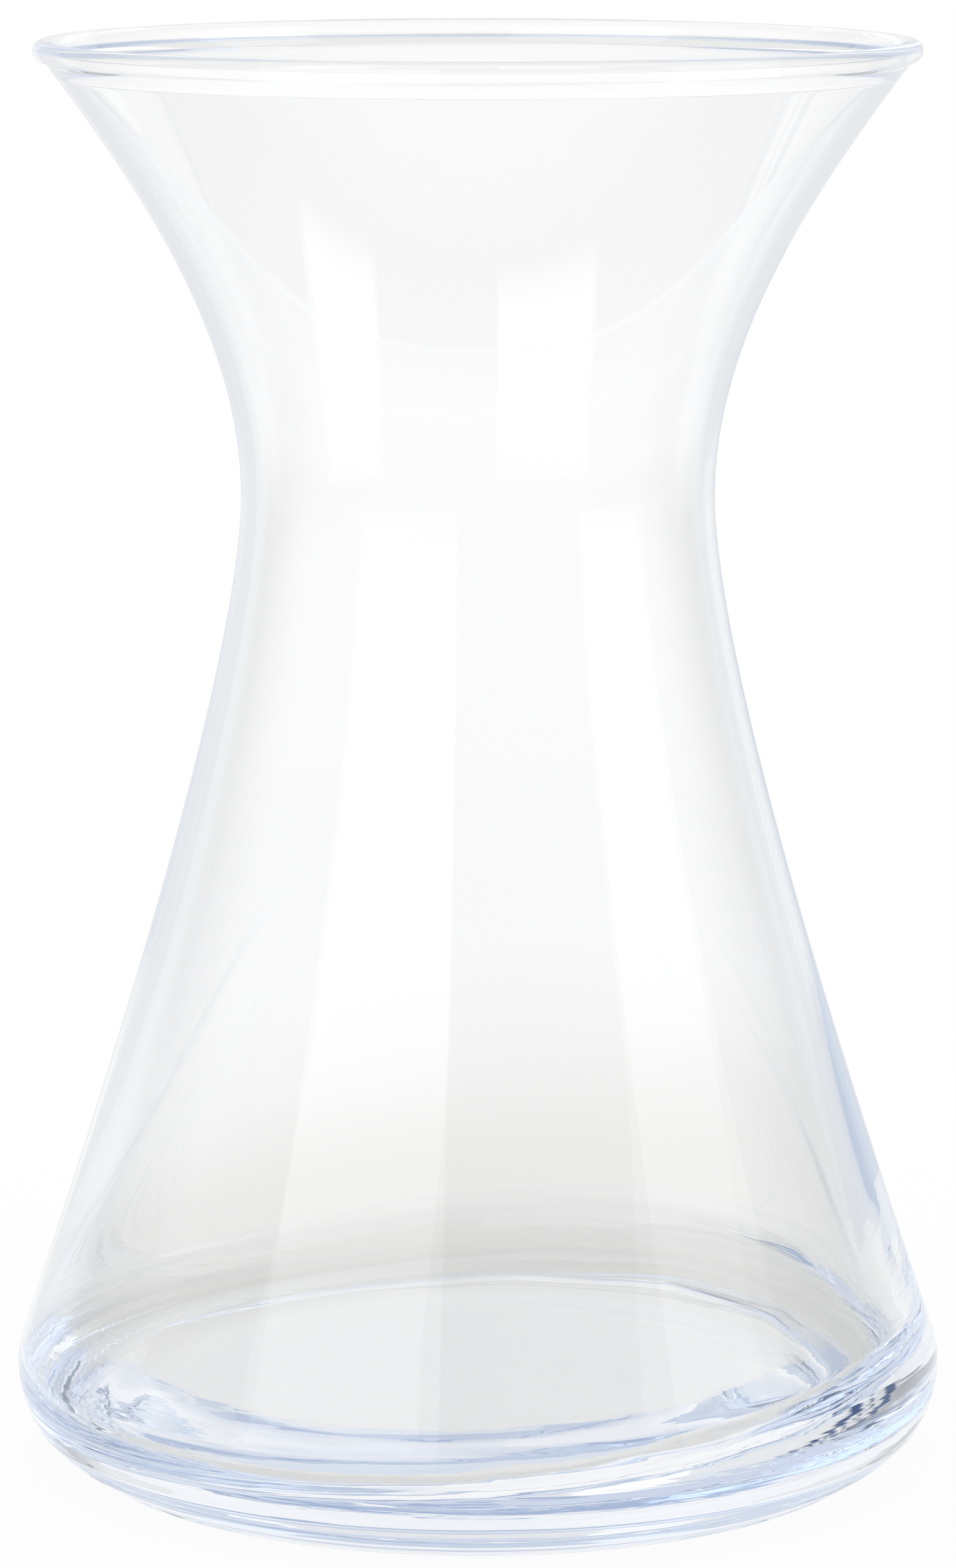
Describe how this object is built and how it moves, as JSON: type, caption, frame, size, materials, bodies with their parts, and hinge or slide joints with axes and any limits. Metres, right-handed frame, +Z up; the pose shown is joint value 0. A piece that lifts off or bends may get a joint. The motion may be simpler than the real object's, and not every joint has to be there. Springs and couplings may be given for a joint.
{
  "type": "hyacinth forcing vase",
  "caption": "Clear glass forcing vase: a wide flared cup for the bulb, a narrow waist and a conical water chamber on a thick round foot.",
  "frame": {"origin": "middle of the foot, on the surface that the vase stands on", "axes": "+Z up along the axis of the glass, towards the rim; X and Y are free because the vase is round"},
  "size_m": [0.0984, 0.0984, 0.15],
  "materials": {
    "clear_glass": "polished clear soda-lime glass"
  },
  "bodies": {
    "root": {"glass_vase": "clear_glass"}
  },
  "joints": []
}
